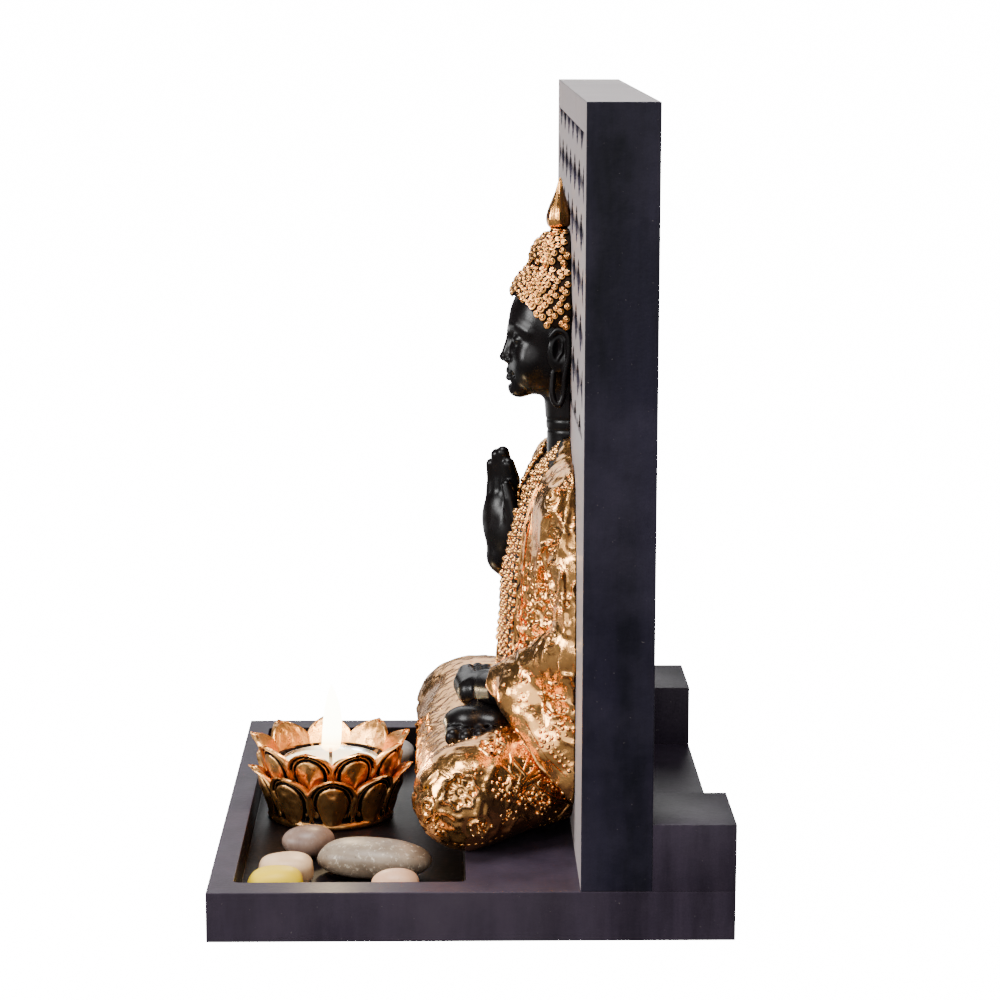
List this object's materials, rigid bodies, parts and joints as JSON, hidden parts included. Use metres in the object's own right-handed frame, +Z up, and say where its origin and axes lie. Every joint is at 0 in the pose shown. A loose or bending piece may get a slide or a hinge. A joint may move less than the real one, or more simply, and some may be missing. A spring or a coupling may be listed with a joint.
{
  "type": "tabletop tealight display",
  "caption": "Tabletop tealight display: tray base with fretwork back panel, seated meditating figure in half relief, lotus tealight holder with tealight, and loose river stones.",
  "frame": {"origin": "middle of the base in plan, at the plane the felt pads rest on", "axes": "+Z up; the figure and the tray face -Y; +X is the seated figure's left"},
  "size_m": [0.234, 0.185, 0.292],
  "materials": {
    "wood_black": "MDF under a thin satin charcoal-brown paint, a little brushy and worn pale on the edges",
    "robe_gold": "cast resin with glossy rose-gold metallic paint, darker wash in the hollows",
    "skin_black": "cast resin, satin black-brown paint",
    "hair_gold": "cast resin knobs, glossy rose-gold paint",
    "lotus_gold": "cast resin, antique gold leaf paint rubbed over black",
    "tealight_aluminium": "thin drawn foil cup",
    "wax": "paraffin wax, softly translucent",
    "wick": "braided cotton, charred at the tip",
    "stone_grey": "river pebble, grey-brown, pale speckles",
    "stone_brown": "river pebble, reddish brown",
    "stone_cream": "river pebble, cream",
    "stone_yellow": "dyed yellow pebble",
    "stone_peach": "river pebble, peach",
    "felt": "black felt",
    "screw_steel": "zinc plated"
  },
  "bodies": {
    "stand": {"base_bottom_board": "wood_black", "base_top_board": "wood_black", "fretwork_panel": "wood_black", "rear_stile_left": "wood_black", "rear_stile_right": "wood_black", "rear_top_rail": "wood_black", "rear_bottom_rail": "wood_black", "support_block_left": "wood_black", "support_block_right": "wood_black", "felt_pads": "felt", "panel_screws": "screw_steel", "block_screws": "screw_steel", "figure_legs": "robe_gold", "figure_torso": "robe_gold", "figure_left_arm": "robe_gold", "figure_right_arm": "robe_gold", "figure_chest": "skin_black", "figure_foot": "skin_black", "figure_lap_hand": "skin_black", "figure_raised_hand": "skin_black", "figure_head": "skin_black", "figure_hair": "hair_gold", "figure_hair_flame": "hair_gold"},
    "lotus_holder": {"lotus_bowl": "lotus_gold", "lotus_lower_petals": "lotus_gold", "lotus_upper_petals": "lotus_gold"},
    "tealight": {"tealight_cup": "tealight_aluminium", "tealight_wax": "wax", "tealight_wick": "wick", "wick_sustainer": "tealight_aluminium"},
    "loose_stone_grey": {"stone_grey": "stone_grey"},
    "loose_stone_brown": {"stone_brown": "stone_brown"},
    "loose_stone_cream": {"stone_cream": "stone_cream"},
    "loose_stone_yellow": {"stone_yellow": "stone_yellow"},
    "loose_stone_peach": {"stone_peach": "stone_peach"},
    "loose_stone_pale": {"stone_pale": "stone_grey"}
  },
  "joints": [
    {"name": "lotus_lift", "type": "slide", "parent": "stand", "child": "lotus_holder", "axis": [0, 0, 1], "range_m": [0, 0.05]},
    {"name": "tealight_lift", "type": "slide", "parent": "lotus_holder", "child": "tealight", "axis": [0, 0, 1], "range_m": [0, 0.035]},
    {"name": "stone_grey_lift", "type": "slide", "parent": "stand", "child": "loose_stone_grey", "axis": [0, -0.5, 0.866], "range_m": [0, 0.03]},
    {"name": "stone_brown_lift", "type": "slide", "parent": "stand", "child": "loose_stone_brown", "axis": [0, 0, 1], "range_m": [0, 0.03]},
    {"name": "stone_cream_lift", "type": "slide", "parent": "stand", "child": "loose_stone_cream", "axis": [0, -0.5, 0.866], "range_m": [0, 0.03]},
    {"name": "stone_yellow_lift", "type": "slide", "parent": "stand", "child": "loose_stone_yellow", "axis": [0, 0, 1], "range_m": [0, 0.03]},
    {"name": "stone_peach_lift", "type": "slide", "parent": "stand", "child": "loose_stone_peach", "axis": [0, 0, 1], "range_m": [0, 0.03]},
    {"name": "stone_pale_lift", "type": "slide", "parent": "stand", "child": "loose_stone_pale", "axis": [0, -0.5, 0.866], "range_m": [0, 0.03]}
  ]
}
